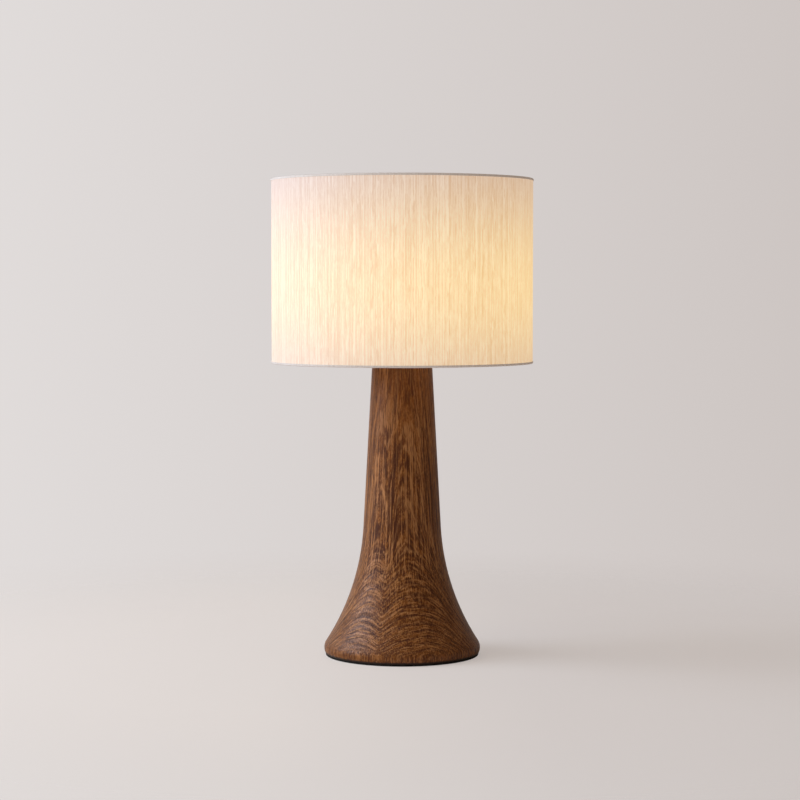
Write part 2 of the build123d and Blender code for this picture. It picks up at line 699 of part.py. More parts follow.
def built_pieces():
    """Every piece of the lamp under the name of its node; a list is a group of equal pieces."""
    trim = shade_trim()
    wall_low_z = shade_bottom_z + TRIM_THICKNESS
    wall_high_z = shade_top_z - TRIM_THICKNESS
    return {
        "wood_column": wood_column(),
        "foot_pad": foot_pad(),
        "ballast_disc": ballast_disc(),
        "lamp_rod": ring(ROD_RADIUS, ROD_BORE_RADIUS, rod_bottom_z, rod_top_z),
        "rod_bottom_washer": ring(WASHER_RADIUS, rod_hole_radius, washer_bottom_z, ballast_bottom_z),
        "rod_lock_washer": lock_washer(),
        "rod_bottom_nut": hex_nut(bottom_nut_z, BOTTOM_NUT_HEIGHT),
        "cord_bush": cord_bush(),
        "neck_cap": neck_cap(),
        "rod_top_nut": hex_nut(top_nut_z, TOP_NUT_HEIGHT),
        "entry_insert": entry_insert(),
        "holder_cap": holder_cap(),
        "holder_grub_screw": grub_screw(),
        "switch_block": switch_block(),
        "switch_rotor": switch_rotor(),
        "switch_spindle": switch_spindle(),
        "switch_knob": switch_knob(),
        "holder_insert": holder_insert(),
        "terminal_screws": terminal_screws(),
        "screw_shell": screw_shell(),
        "centre_contact": centre_contact(),
        "holder_skirt": holder_skirt(),
        "shade_clamp_ring": shade_clamp_ring(),
        "shade_fitter_ring": shade_fitter_ring(),
        "shade_arms": shade_arms(),
        "shade_bottom_ring": shade_hoop(shade_bottom_z + hoop_inset),
        "shade_top_ring": shade_hoop(shade_top_z - hoop_inset),
        "shade_liner": ring(liner_outer_radius, liner_inner_radius, wall_low_z, wall_high_z),
        "shade_fabric": ring(fabric_outer_radius, liner_outer_radius, wall_low_z, wall_high_z),
        "shade_bottom_trim": Pos(0, 0, shade_bottom_z) * trim,
        "shade_top_trim": Pos(0, 0, shade_top_z) * Rot(180, 0, 0) * trim,
        "bulb_globe": bulb_globe(),
        "bulb_cap": bulb_cap(),
        "bulb_insulator": bulb_insulator(),
        "bulb_tip": bulb_tip(),
        "bulb_stem": bulb_stem(),
        "bulb_filaments": bulb_filaments(),
        "bulb_support_wires": bulb_support_wires(),
    }


def main():
    """Build every piece and write one file per node."""
    os.makedirs("parts", exist_ok=True)
    for name, piece in built_pieces().items():
        shape = Compound(children=piece) if isinstance(piece, list) else piece
        export_step(shape, os.path.join("parts", f"{name}.step"))
    print(f"overall height {shade_top_z:.1f} mm, shade diameter {2 * SHADE_RADIUS:.1f} mm")


main()
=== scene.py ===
import logging
import math
from dataclasses import dataclass, replace
from enum import Enum
from typing import Callable, ClassVar, Sequence, Union

import bmesh
import bpy
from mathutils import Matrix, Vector, noise


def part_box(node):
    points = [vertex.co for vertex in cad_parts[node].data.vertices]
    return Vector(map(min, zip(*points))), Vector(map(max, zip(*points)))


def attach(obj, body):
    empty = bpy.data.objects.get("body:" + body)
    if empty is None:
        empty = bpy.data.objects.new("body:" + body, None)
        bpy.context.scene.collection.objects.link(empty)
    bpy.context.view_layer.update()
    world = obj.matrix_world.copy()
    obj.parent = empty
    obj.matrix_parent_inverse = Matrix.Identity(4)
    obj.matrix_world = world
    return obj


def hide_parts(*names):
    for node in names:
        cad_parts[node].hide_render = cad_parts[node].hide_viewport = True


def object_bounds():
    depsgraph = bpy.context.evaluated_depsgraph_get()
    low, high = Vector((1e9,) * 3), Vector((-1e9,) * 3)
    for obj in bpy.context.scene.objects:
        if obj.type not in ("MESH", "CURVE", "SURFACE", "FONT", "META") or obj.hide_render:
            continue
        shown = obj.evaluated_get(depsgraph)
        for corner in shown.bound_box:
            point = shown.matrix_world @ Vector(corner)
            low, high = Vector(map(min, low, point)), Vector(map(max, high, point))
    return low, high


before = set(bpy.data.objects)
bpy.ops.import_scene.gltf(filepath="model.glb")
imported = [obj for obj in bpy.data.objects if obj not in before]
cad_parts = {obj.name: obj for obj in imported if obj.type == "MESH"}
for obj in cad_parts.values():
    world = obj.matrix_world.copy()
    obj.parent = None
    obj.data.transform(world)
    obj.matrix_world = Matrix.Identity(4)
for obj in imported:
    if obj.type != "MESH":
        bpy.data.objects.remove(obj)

# Wooden table lamp: turned base, lampholder with a turn-knob switch, opal bulb and drum shade of linen.
# Metres, +Z up, in the frame of the solids. The front of the lamp faces -Y.

MM = 0.001
FULL_TURN = 2 * math.pi
CORNER = math.radians(40)
WELD = 1e-6
CAD_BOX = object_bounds()
MIDDLE = (CAD_BOX[0] + CAD_BOX[1]) / 2
SCENE = bpy.context.scene
GLOW_LEVEL = 0.358  # height at which the drum is lit most
GLOW_REACH = 0.141  # height over which its light falls off

Colour = tuple[float, float, float, float]
Span = tuple[float, float]
Triple = tuple[float, float, float]
Ramp = tuple[float, float, float, float]
Socket = bpy.types.NodeSocket
Sockets = bpy.types.bpy_prop_collection
Outputs = dict[str, Socket]
Node = bpy.types.Node
Piece = bpy.types.Object
Value = Union[float, Sequence[float], Socket]
Looks = dict[str, Value]
Shift = Callable[[float, float, float], float]

log = logging.getLogger("table_lamp")


class Body(Enum):
    """Parts of the lamp that new pieces move with."""

    BASE = "base"
    SHADE = "shade"
    BULB = "bulb"


class Blend(Enum):
    """Ways in which two colours are combined."""

    MIX = "MIX"
    MULTIPLY = "MULTIPLY"


class Kind(Enum):
    """Kinds of socket that a node group has."""

    COLOUR = "NodeSocketColor"
    VALUE = "NodeSocketFloat"


def rgb(red: float, green: float, blue: float) -> Colour:
    """Opaque linear colour."""
    return (red, green, blue, 1.0)


BLACK = rgb(0.0, 0.0, 0.0)


@dataclass
class Graph:
    """Places nodes in one tree and wires them.

    Attributes:
        tree: The tree that is being filled.
        mix_inputs: Sockets of a colour mix for the share and both colours.
        mix_result: Socket of its result.
    """

    tree: bpy.types.NodeTree
    mix_inputs: ClassVar[tuple[int, int, int]] = (0, 6, 7)
    mix_result: ClassVar[int] = 2

    def add(self, kind: str, settings: dict[str, object] | None = None, **inputs: Value) -> Node:
        """Place a node.

        Args:
            kind: Type of the node, without its prefix.
            settings: Properties of the node itself.
            inputs: Sockets by name, with _ for a space.

        Returns:
            The new node.
        """
        node = self.tree.nodes.new("ShaderNode" + kind)
        for key, value in (settings or {}).items():
            setattr(node, key, value)
        self.fit(node, **inputs)
        return node

    def fit(self, node: Node, **inputs: Value) -> None:
        """Feed sockets of a node by name, with _ for a space."""
        for key, value in inputs.items():
            self.feed(node.inputs[key.replace("_", " ")], value)

    def feed(self, socket: Socket, value: Value) -> None:
        """Link a socket to another one, or set its constant.

        Args:
            socket: The input to feed.
            value: An output socket, or a constant.
        """
        if isinstance(value, Socket):
            self.tree.links.new(value, socket)
        else:
            socket.default_value = value

    def math(self, operation: str, *values: Value, kind: str = "Math") -> Socket:
        """Arithmetic on values or vectors.

        Args:
            operation: Name of the operation.
            values: Its operands, in order.
            kind: Type of the node, VectorMath for vectors.

        Returns:
            The result's socket.
        """
        node = self.add(kind, {"operation": operation})
        for socket, value in zip(node.inputs, values):
            self.feed(socket, value)
        return node.outputs[0]

    def times(self, first: Value, second: Value) -> Socket:
        """Product of two values."""
        return self.math("MULTIPLY", first, second)

    def plus(self, value: Value, factor: Value, base: Value) -> Socket:
        """Value times a factor, added to a base."""
        return self.math("MULTIPLY_ADD", value, factor, base)

    def mix(self, share: Value, first: Value, second: Value, blend: Blend = Blend.MIX) -> Socket:
        """Combine two colours.

        Args:
            share: How much of the second colour is taken.
            first: The colour at a share of 0.
            second: The colour at a share of 1.
            blend: How they are combined.

        Returns:
            The resulting colour's socket.
        """
        node = self.add("Mix", {"data_type": "RGBA", "blend_type": blend.value})
        for index, value in zip(self.mix_inputs, (share, first, second)):
            self.feed(node.inputs[index], value)
        return node.outputs[self.mix_result]

    def blend(self, share: Value, first: Value, second: Value) -> Socket:
        """Value between two others, the second one at a share of 1."""
        return self.plus(self.math("SUBTRACT", second, first), share, first)

    def noise(self, vector: Value, scale: Value, detail: float = 1.0) -> Socket:
        """Smooth noise between 0 and 1, with scale waves per unit of the vector and finer octaves."""
        return self.add("TexNoise", Vector=vector, Scale=scale, Detail=detail).outputs[0]

    def remap(
        self, value: Value, low: Value, high: Value, to_low: Value = 0.0, to_high: Value = 1.0,
        smooth: bool = False
    ) -> Socket:
        """Carry a range of values over to another one, clamped at both ends.

        Args:
            value: What is carried over.
            low: Value that gives to_low.
            high: Value that gives to_high.
            to_low: Result at low.
            to_high: Result at high.
            smooth: Whether the ends are eased.

        Returns:
            The result's socket.
        """
        easing = {"interpolation_type": "SMOOTHSTEP" if smooth else "LINEAR"}
        limits = {"From_Min": low, "From_Max": high, "To_Min": to_low, "To_Max": to_high}
        return self.add("MapRange", easing, Value=value, **limits).outputs[0]

    def stretch(self, vector: Value, factors: Triple) -> Socket:
        """Vector scaled by one factor per axis."""
        return self.math("MULTIPLY", vector, factors, kind="VectorMath")

    def place(self, space: str = "Object") -> Socket:
        """Position on the lamp in metres, or the direction of view in the world."""
        return self.add("TexCoord").outputs[space]

    def split(self, vector: Value) -> tuple[Socket, ...]:
        """The three components of a vector."""
        return tuple(self.add("SeparateXYZ", Vector=vector).outputs)

    def join(self, x: Value, y: Value, z: Value) -> Socket:
        """Vector from its three components."""
        return self.add("CombineXYZ", X=x, Y=y, Z=z).outputs[0]

    def radius(self, x: Value, y: Value) -> Socket:
        """Distance from the lamp's axis."""
        return self.math("SQRT", self.plus(x, x, self.times(y, y)))


class Effect:
    """Shader node group with named inputs and outputs, built once and placed in several materials."""

    name: ClassVar[str]
    inputs: ClassVar[dict[str, Value]]
    outputs: ClassVar[dict[str, Kind]]

    def tree(self) -> bpy.types.NodeTree:
        """The group's tree, which is filled on first use.

        Returns:
            The node tree.
        """
        found = bpy.data.node_groups.get(self.name)
        if found:
            return found
        tree = bpy.data.node_groups.new(self.name, "ShaderNodeTree")
        for key, default in self.inputs.items():
            kind = Kind.VALUE if isinstance(default, float) else Kind.COLOUR
            tree.interface.new_socket(key, in_out="INPUT", socket_type=kind.value).default_value = default
        for key, kind in self.outputs.items():
            tree.interface.new_socket(key, in_out="OUTPUT", socket_type=kind.value)
        entry = tree.nodes.new("NodeGroupInput")
        leave = tree.nodes.new("NodeGroupOutput")
        graph = Graph(tree)
        for key, value in self.fill(graph, entry.outputs).items():
            graph.feed(leave.inputs[key], value)
        return tree

    def fill(self, graph: Graph, given: Sockets) -> Outputs:
        """Place the group's nodes, which read the given inputs, and name a socket for each output."""
        raise NotImplementedError

    def put(self, graph: Graph, **values: Value) -> Sockets:
        """Place the group in a material with its own values, and give its outputs."""
        return graph.add("Group", {"node_tree": self.tree()}, **values).outputs


@dataclass(frozen=True)
class Mottle(Effect):
    """Soft clouds and fine grain of a moulded, cast, fired or plated surface."""

    name = "Mottle"
    inputs = {
        "Colour": rgb(0.8, 0.8, 0.8),
        "Tint": rgb(0.7, 0.7, 0.7),
        "Scale": 60.0,
        "Smooth": 0.4,
        "Rough": 0.6,
    }
    outputs = {"Colour": Kind.COLOUR, "Roughness": Kind.VALUE, "Height": Kind.VALUE}
    cloud_octaves: float = 3.0
    grain_octaves: float = 2.0
    grain_per_cloud: float = 14.0
    noise_range: Span = (0.3, 0.7)

    def fill(self, graph: Graph, given: Sockets) -> Outputs:
        """Clouds steer the colour, and a finer grain the gloss and the relief.

        Args:
            graph: The group's graph.
            given: Its inputs.

        Returns:
            Its outputs.
        """
        place = graph.place()
        clouds = graph.noise(place, given["Scale"], self.cloud_octaves)
        grain = graph.noise(place, graph.times(given["Scale"], self.grain_per_cloud), self.grain_octaves)
        share = graph.remap(clouds, *self.noise_range, smooth=True)
        return {
            "Colour": graph.mix(share, given["Colour"], given["Tint"]),
            "Roughness": graph.remap(grain, *self.noise_range, given["Smooth"], given["Rough"]),
            "Height": grain,
        }


class TurningMarks(Effect):
    """Fine rings that a lathe leaves on metal."""

    name = "Turning marks"
    inputs = {"Lines": 2500.0}
    outputs = {"Marks": Kind.VALUE}

    def fill(self, graph: Graph, given: Sockets) -> Outputs:
        """Noise that only changes with the distance from the axis and with the height."""
        x, y, z = graph.split(graph.place())
        return {"Marks": graph.noise(graph.join(graph.radius(x, y), 0.0, z), given["Lines"])}


@dataclass(frozen=True)
class Weave(Effect):
    """Slubby plain weave: upright threads of uneven thickness, crossed by fine level ones.

    Noise is drawn out by one factor per axis: the smaller a factor, the longer the threads.

    Attributes:
        layers: Heights at which the three sets of straight threads are read, in metres.
        turns: Factors of the noise by which the later sets take over.
        slubs: Factors of long slubs and of small knots, each with its share.
    """

    name = "Weave"
    inputs = {"Threads": 1050.0, "Cross": 900.0}
    outputs = {"Slubs": Kind.VALUE, "Height": Kind.VALUE}
    layers: Triple = (0.0, 0.05, 0.1)
    turns: tuple[Triple, ...] = ((0.8, 0.8, 0.08), (0.8, 0.8, 0.055))
    turn_range: Span = (0.43, 0.57)
    slubs: tuple[tuple[Triple, float], ...] = (((0.5, 0.5, 0.01), 0.2), ((1.0, 1.0, 0.3), 0.14))
    level_threads: Triple = (0.05, 0.05, 1.0)
    level_share: float = 0.25
    thin_to_thick: Span = (0.4, 0.6)

    def fill(self, graph: Graph, given: Sockets) -> Outputs:
        """Three sets of straight threads that take turns along their length, with slubs and knots.

        Args:
            graph: The group's graph.
            given: Its inputs.

        Returns:
            Its outputs.
        """
        place = graph.place()
        threads = given["Threads"]
        x, y, _ = graph.split(place)
        upright, *others = (graph.noise(graph.join(x, y, layer), threads) for layer in self.layers)
        for other, factors in zip(others, self.turns):
            turn = graph.noise(graph.stretch(place, factors), threads)
            upright = graph.blend(graph.remap(turn, *self.turn_range, smooth=True), upright, other)
        for factors, share in self.slubs:
            upright = graph.blend(share, upright, graph.noise(graph.stretch(place, factors), threads))
        level = graph.noise(graph.stretch(place, self.level_threads), given["Cross"])
        return {
            "Slubs": graph.remap(upright, *self.thin_to_thick),
            "Height": graph.blend(self.level_share, upright, level),
        }


@dataclass(frozen=True)
class LampGlow(Effect):
    """Light that comes through a wall round the bulb, strongest level with it."""

    name = "Lamp glow"
    inputs = {
        "Dim": rgb(0.5, 0.3, 0.1),
        "Bright": rgb(0.7, 0.5, 0.2),
        "Level": GLOW_LEVEL,
        "Reach": GLOW_REACH,
        "Streaks": 0.0,
        "Thick": rgb(0.9, 0.84, 0.76),
    }
    outputs = {"Glow": Kind.COLOUR}
    falloff_power: float = -1.5
    dim_falloff: float = 0.5

    def fill(self, graph: Graph, given: Sockets) -> Outputs:
        """Fall-off of a small light with the height, tinted where threads are thick.

        Args:
            graph: The group's graph.
            given: Its inputs.

        Returns:
            Its outputs.
        """
        z = graph.split(graph.place())[2]
        rise = graph.math("DIVIDE", graph.math("SUBTRACT", z, given["Level"]), given["Reach"])
        falloff = graph.math("POWER", graph.plus(rise, rise, 1.0), self.falloff_power)
        glow = graph.mix(graph.remap(falloff, self.dim_falloff, 1.0), given["Dim"], given["Bright"])
        return {"Glow": graph.mix(given["Streaks"], glow, given["Thick"], Blend.MULTIPLY)}


@dataclass(frozen=True)
class Grain:
    """Noise that is drawn out along the trunk.

    Attributes:
        waves: Waves per metre across the trunk.
        along: Waves along the trunk to each wave across it.
        octaves: Octaves of finer waves.
    """

    waves: float
    along: float
    octaves: float = 1.0

    def read(self, graph: Graph, place: Value) -> Socket:
        """The noise at a place."""
        return graph.noise(graph.stretch(place, (1.0, 1.0, self.along)), self.waves, self.octaves)


@dataclass(frozen=True)
class WoodFigure(Effect):
    """Growth rings, pores and fine fibres of a turned block, read in the block's own space.

    Lengths are in metres. A ramp is a range of some value, with the range that it is carried over to, and its
    name says what it gives by which value.

    Attributes:
        bulges: Degrees round from the front of each bulge of the rings, its lead and its pace.
        drifts: Slow and quick drift of the rings, each with its reach.
        drum, flare: Radius at which streaks have their full width, and that of the flare with its easing.
        run, line_drift: How fast streaks change outwards and upwards, and lines across and upwards.
        painted_gap_shade: Near-black colour painted on the sawn edge under the foot, as the shade in the gap
            over the pad.
    """

    name = "Wood figure"
    inputs = {
        "Light": rgb(0.3, 0.15, 0.075),
        "Middle": rgb(0.2, 0.085, 0.036),
        "Dark": rgb(0.07, 0.025, 0.01),
        "Ring": 0.0034,
    }
    outputs = Mottle.outputs
    bulges: tuple[Triple, ...] = ((5.0, 0.003, 1.0), (-36.0, 0.0, 1.0), (20.0, -0.004, 1.12))
    bulge_join: float = 0.003
    drifts: tuple[tuple[Grain, float], ...] = ((Grain(16.0, 0.35), 0.006), (Grain(90.0, 0.12, 2.0), 0.001))
    trunk_taper: float = 0.008
    drum: float = 0.03
    flare: Span = (0.044, 0.02)
    run: Span = (-0.05, 0.008)
    column_by_radius: Ramp = (0.06, 0.036, 0.0, 1.0)
    face_by_height: Ramp = (0.006, 0.018, 0.25, 1.0)
    calm_by_height: Ramp = (0.18, 0.26, 1.0, 0.45)
    fibre_waves: float = 900.0
    fray_by_column: Ramp = (0.0, 1.0, 0.0003, 0.0008)
    late_by_phase: Ramp = (0.45, 0.92, 0.0, 1.0)
    pores_by_phase: Ramp = (0.0, 0.4, 0.1, 0.0)
    pores: Grain = Grain(1100.0, 0.06)
    open_by_pores: Ramp = (0.58, 0.67, 0.0, 1.0)
    pores_by_face: Ramp = (0.25, 1.0, 0.07, 0.0)
    line_waves: float = 1800.0
    line_drift: Span = (0.05, 0.006)
    streak_waves: float = 1200.0
    specks: Grain = Grain(950.0, 0.4)
    rings_by_column: Ramp = (0.0, 1.0, 0.85, 0.5)
    streaks_by_column: Ramp = (0.0, 1.0, 0.3, 0.8)
    line_share: float = 0.9
    speck_share: float = 0.5
    pore_share: float = 0.75
    pale_by_pattern: Ramp = (0.52, 0.64, 0.0, 1.0)
    dark_by_pattern: Ramp = (0.47, 0.35, 0.0, 1.0)
    # Painted shade: near-black colour on the lowest few millimetres of the wood, where the gap over the pad
    # is in shade.
    painted_gap_shade: Colour = rgb(0.009, 0.005, 0.002)
    gap_shade_by_height: Ramp = (0.003, 0.0041, 0.9, 0.0)
    roughness_by_late: Ramp = (0.0, 1.0, 0.38, 0.52)
    line_height: float = 0.6
    pore_height: float = -0.6

    def growth(self, graph: Graph, place: Value) -> Socket:
        """How far out of the tree's heart a point has grown.

        Args:
            graph: The group's graph.
            place: The point.

        Returns:
            The distance in metres.
        """
        x, y, z = graph.split(place)
        grown = None
        for angle, lead, pace in self.bulges:
            turn = math.radians(angle)
            across = graph.plus(x, pace * math.sin(turn), lead)
            ahead = graph.plus(y, -pace * math.cos(turn), across)
            grown = ahead if grown is None else graph.math("SMOOTH_MAX", grown, ahead, self.bulge_join)
        for drift, reach in self.drifts:
            grown = graph.plus(drift.read(graph, place), reach, grown)
        return graph.plus(z, self.trunk_taper, grown)

    def unroll(self, graph: Graph, place: Value, radius: Value) -> Socket:
        """Where the streaks of a point are read, so that they run up the column and out over the foot.

        Args:
            graph: The group's graph.
            place: The point.
            radius: Its distance from the axis.

        Returns:
            The position's socket.
        """
        x, y, z = graph.split(place)
        turn = graph.math("DIVIDE", self.drum, graph.math("SMOOTH_MIN", radius, *self.flare))
        outwards, upwards = self.run
        run = graph.plus(radius, outwards, graph.times(z, upwards))
        return graph.join(graph.times(x, turn), graph.times(y, turn), run)

    def fill(self, graph: Graph, given: Sockets) -> Outputs:
        """Late wood closes each ring, lines follow the rings, pores the trunk, and shade is painted on the
        foot's lowest edge.

        Args:
            graph: The group's graph.
            given: Its inputs.

        Returns:
            Its outputs.
        """
        place = graph.place()
        x, y, z = graph.split(place)
        radius = graph.radius(x, y)
        unrolled = self.unroll(graph, place, radius)
        column = graph.remap(radius, *self.column_by_radius, smooth=True)
        face = graph.remap(z, *self.face_by_height)
        calm = graph.remap(z, *self.calm_by_height)
        reach = graph.remap(column, *self.fray_by_column)
        grown = graph.plus(graph.noise(unrolled, self.fibre_waves), reach, self.growth(graph, place))
        phase = graph.math("FRACT", graph.math("DIVIDE", grown, given["Ring"]))
        late = graph.remap(phase, *self.late_by_phase, smooth=True)
        across, upwards = self.line_drift
        along = graph.join(grown, graph.times(x, across), graph.times(z, upwards))
        lines = graph.noise(along, self.line_waves)
        streak_share = graph.remap(column, *self.streaks_by_column)
        patterns = (
            (self.specks.read(graph, place), graph.times(self.speck_share, calm)),
            (lines, graph.times(graph.times(self.line_share, calm), face)),
            (graph.noise(unrolled, self.streak_waves), graph.times(streak_share, calm)),
        )
        ring_share = graph.times(graph.remap(column, *self.rings_by_column), face)
        tone = graph.mix(graph.times(late, ring_share), given["Middle"], given["Dark"])
        tints = ((self.pale_by_pattern, given["Light"]), (self.dark_by_pattern, given["Dark"]))
        for pattern, share in patterns:
            for ramp, colour in tints:
                tone = graph.mix(graph.times(graph.remap(pattern, *ramp), share), tone, colour)
        pores = self.pores.read(graph, place)
        for value, ramp in ((phase, self.pores_by_phase), (face, self.pores_by_face)):
            pores = graph.math("ADD", pores, graph.remap(value, *ramp))
        pores = graph.remap(pores, *self.open_by_pores)
        tone = graph.mix(graph.times(pores, self.pore_share), tone, given["Dark"])
        # Share of the painted shade, full on the lowest few millimetres of the wood and none above.
        gap_shade_share = graph.remap(z, *self.gap_shade_by_height)
        ridge = graph.plus(lines, self.line_height, graph.math("SUBTRACT", 1.0, late))
        return {
            "Colour": graph.mix(gap_shade_share, tone, self.painted_gap_shade),
            "Roughness": graph.remap(late, *self.roughness_by_late),
            "Height": graph.plus(pores, self.pore_height, ridge),
        }


@dataclass(frozen=True)
class Finish:
    """Look of one material.

    Attributes:
        name: The material's name.
        colour: Its main colour.
    """

    name: str
    colour: Colour

    def material(self) -> bpy.types.Material:
        """The material, which is made on first use.

        Returns:
            The material.
        """
        found = bpy.data.materials.get(self.name)
        if found:
            return found
        made = bpy.data.materials.new(self.name)
        made.use_nodes = True
        made.diffuse_color = self.colour
        graph = Graph(made.node_tree)
        graph.fit(made.node_tree.nodes["Principled BSDF"], **self.looks(graph))
        return made

    def looks(self, graph: Graph) -> Looks:
        """Inputs of the material's Principled shader by name, with _ for a space."""
        raise NotImplementedError

    @staticmethod
    def relief(graph: Graph, height: Value, depth: float) -> Socket:
        """Normal of a relief, from its height between 0 and 1 and its real depth."""
        return graph.add("Bump", Height=height, Strength=1.0, Distance=depth).outputs[0]


@dataclass(frozen=True)
class SatinFinish(Finish):
    """Moulded, cast, fired, painted or plated surface.

    Attributes:
        tint: Colour of its clouds.
        smooth: Lowest roughness.
        rough: Highest roughness.
        metallic: 1 for bare metal.
        scale: Clouds per metre.
        depth: Depth of its grain.
        gloss: Level of its plain reflection.
    """

    tint: Colour
    smooth: float = 0.35
    rough: float = 0.5
    metallic: float = 0.0
    scale: float = 60.0
    depth: float = 0.00002
    gloss: float = 0.5

    def looks(self, graph: Graph) -> Looks:
        """Mottle on colour and gloss, and the finish's own relief.

        Args:
            graph: The material's graph.

        Returns:
            Inputs of its shader.
        """
        tints = {"Colour": self.colour, "Tint": self.tint}
        mottle = Mottle().put(graph, Scale=self.scale, Smooth=self.smooth, Rough=self.rough, **tints)
        return {
            "Base_Color": mottle["Colour"],
            "Roughness": mottle["Roughness"],
            "Metallic": self.metallic,
            "Specular_IOR_Level": self.gloss,
            "Normal": self.relief(graph, self.grain(graph, mottle), self.depth),
        }

    def grain(self, graph: Graph, mottle: Sockets) -> Socket:
        """Height of the relief: that of the mottle."""
        return mottle["Height"]


@dataclass(frozen=True)
class TurnedMetalFinish(SatinFinish):
    """Metal with the marks of the lathe."""

    def grain(self, graph: Graph, mottle: Sockets) -> Socket:
        """Height of the relief: that of the turning marks."""
        return TurningMarks().put(graph)["Marks"]


@dataclass(frozen=True)
class LinenFinish(Finish):
    """Linen with the lamp's light behind it.

    Attributes:
        shadow: Colour of the thick places.
        dim: Light that comes through far from the bulb.
        bright: Light that comes through level with the bulb.
        thick: What the thick threads let through.
        depth: Depth of the weave.
        roughness: Its roughness.
        gloss: Level of its plain reflection.
    """

    shadow: Colour
    dim: Colour
    bright: Colour
    thick: Colour = rgb(0.93, 0.84, 0.76)
    depth: float = 0.0002
    roughness: float = 0.85
    gloss: float = 0.2

    def looks(self, graph: Graph) -> Looks:
        """Weave on colour and relief, and the glow through it.

        Args:
            graph: The material's graph.

        Returns:
            Inputs of its shader.
        """
        weave = Weave().put(graph)
        slubs = weave["Slubs"]
        glow = LampGlow().put(graph, Dim=self.dim, Bright=self.bright, Streaks=slubs, Thick=self.thick)
        return {
            "Base_Color": graph.mix(slubs, self.colour, self.shadow),
            "Emission_Color": glow["Glow"],
            "Emission_Strength": 1.0,
            "Roughness": self.roughness,
            "Specular_IOR_Level": self.gloss,
            "Normal": self.relief(graph, weave["Height"], self.depth),
        }


@dataclass(frozen=True)
class WoodFinish(Finish):
    """Stained and oiled wood.

    Attributes:
        light: Colour of the early wood's fibres.
        dark: Colour of the late wood and the pores.
        depth: Depth of the open grain.
        gloss: Level of its plain reflection.
    """

    light: Colour
    dark: Colour
    depth: float = 0.00015
    gloss: float = 0.32

    def looks(self, graph: Graph) -> Looks:
        """Figure on colour, gloss and relief.

        Args:
            graph: The material's graph.

        Returns:
            Inputs of its shader.
        """
        figure = WoodFigure().put(graph, Light=self.light, Middle=self.colour, Dark=self.dark)
        return {
            "Base_Color": figure["Colour"],
            "Roughness": figure["Roughness"],
            "Specular_IOR_Level": self.gloss,
            "Normal": self.relief(graph, figure["Height"], self.depth),
        }


@dataclass(frozen=True)
class GlowingFinish(SatinFinish):
    """Opal glass, coated strip or lit sheet that gives off light itself.

    Attributes:
        bright: Light at its middle.
        dim: Light away from its middle.
        strength: Strength of the light.
        level: Height of its middle.
        reach: Height over which the light falls off.
    """

    bright: Colour = rgb(1.0, 0.8, 0.5)
    dim: Colour = rgb(0.8, 0.6, 0.4)
    strength: float = 1.0
    level: float = 0.38
    reach: float = 0.03

    def looks(self, graph: Graph) -> Looks:
        """Mottle with a glow over it."""
        glow = LampGlow().put(graph, Dim=self.dim, Bright=self.bright, Level=self.level, Reach=self.reach)
        return super().looks(graph) | {"Emission_Color": glow["Glow"], "Emission_Strength": self.strength}


@dataclass(frozen=True)
class ClearGlassFinish(SatinFinish):
    """Clear glass."""

    refraction: float = 1.5

    def looks(self, graph: Graph) -> Looks:
        """Transmission over a faint mottle."""
        return super().looks(graph) | {"Transmission_Weight": 1.0, "IOR": self.refraction}


STAINED_WOOD = WoodFinish(
    "oiled_wood", rgb(0.234, 0.0705, 0.008), light=rgb(0.46, 0.2, 0.07), dark=rgb(0.064, 0.013, 0.0006)
)
FOOT_RUBBER = SatinFinish(
    "foam_rubber", rgb(0.009, 0.008, 0.007), rgb(0.024, 0.022, 0.02), 0.8, 0.95, scale=260.0, depth=0.0001,
    gloss=0.1,
)
CAST_IRON = SatinFinish(
    "grey_iron", rgb(0.13, 0.13, 0.135), rgb(0.19, 0.185, 0.18), 0.55, 0.8, 0.6, scale=120.0, depth=0.0002
)
ZINC_STEEL = TurnedMetalFinish(
    "zinc_plate", rgb(0.62, 0.63, 0.65), rgb(0.58, 0.57, 0.52), 0.25, 0.42, 1.0, scale=90.0
)
CAP_BRASS = TurnedMetalFinish(
    "satin_brass", rgb(0.55, 0.42, 0.22), rgb(0.47, 0.34, 0.16), 0.28, 0.42, 1.0, scale=70.0
)
CONTACT_BRASS = SatinFinish(
    "contact_brass", rgb(0.72, 0.58, 0.32), rgb(0.64, 0.49, 0.25), 0.2, 0.35, 1.0, scale=150.0
)
BULB_NICKEL = TurnedMetalFinish(
    "bulb_nickel", rgb(0.78, 0.77, 0.74), rgb(0.7, 0.69, 0.66), 0.2, 0.32, 1.0, scale=100.0
)
BLACK_PLASTIC = SatinFinish("black_moulding", rgb(0.02, 0.02, 0.021), rgb(0.027, 0.026, 0.026), 0.38, 0.52)
HOLDER_PLASTIC = SatinFinish("cream_moulding", rgb(0.82, 0.8, 0.75), rgb(0.77, 0.74, 0.68), 0.32, 0.45)
INSERT_CERAMIC = SatinFinish(
    "fired_ceramic", rgb(0.86, 0.85, 0.81), rgb(0.8, 0.78, 0.73), 0.6, 0.8, depth=0.00006
)
WHITE_WIRE = SatinFinish("coated_wire", rgb(0.85, 0.84, 0.81), rgb(0.8, 0.79, 0.75), depth=0.00004)
BEAD_GLASS = SatinFinish("glass_bead", rgb(0.03, 0.03, 0.035), rgb(0.04, 0.04, 0.045), 0.08, 0.16)
STEM_GLASS = ClearGlassFinish("stem_glass", rgb(0.92, 0.95, 0.95), rgb(0.9, 0.93, 0.93), 0.02, 0.06)
OPAL_GLASS = GlowingFinish(
    "lit_opal", rgb(0.7, 0.67, 0.61), rgb(0.66, 0.62, 0.55), 0.15, 0.25,
    bright=rgb(0.9, 0.73, 0.47), dim=rgb(0.62, 0.45, 0.26),
)
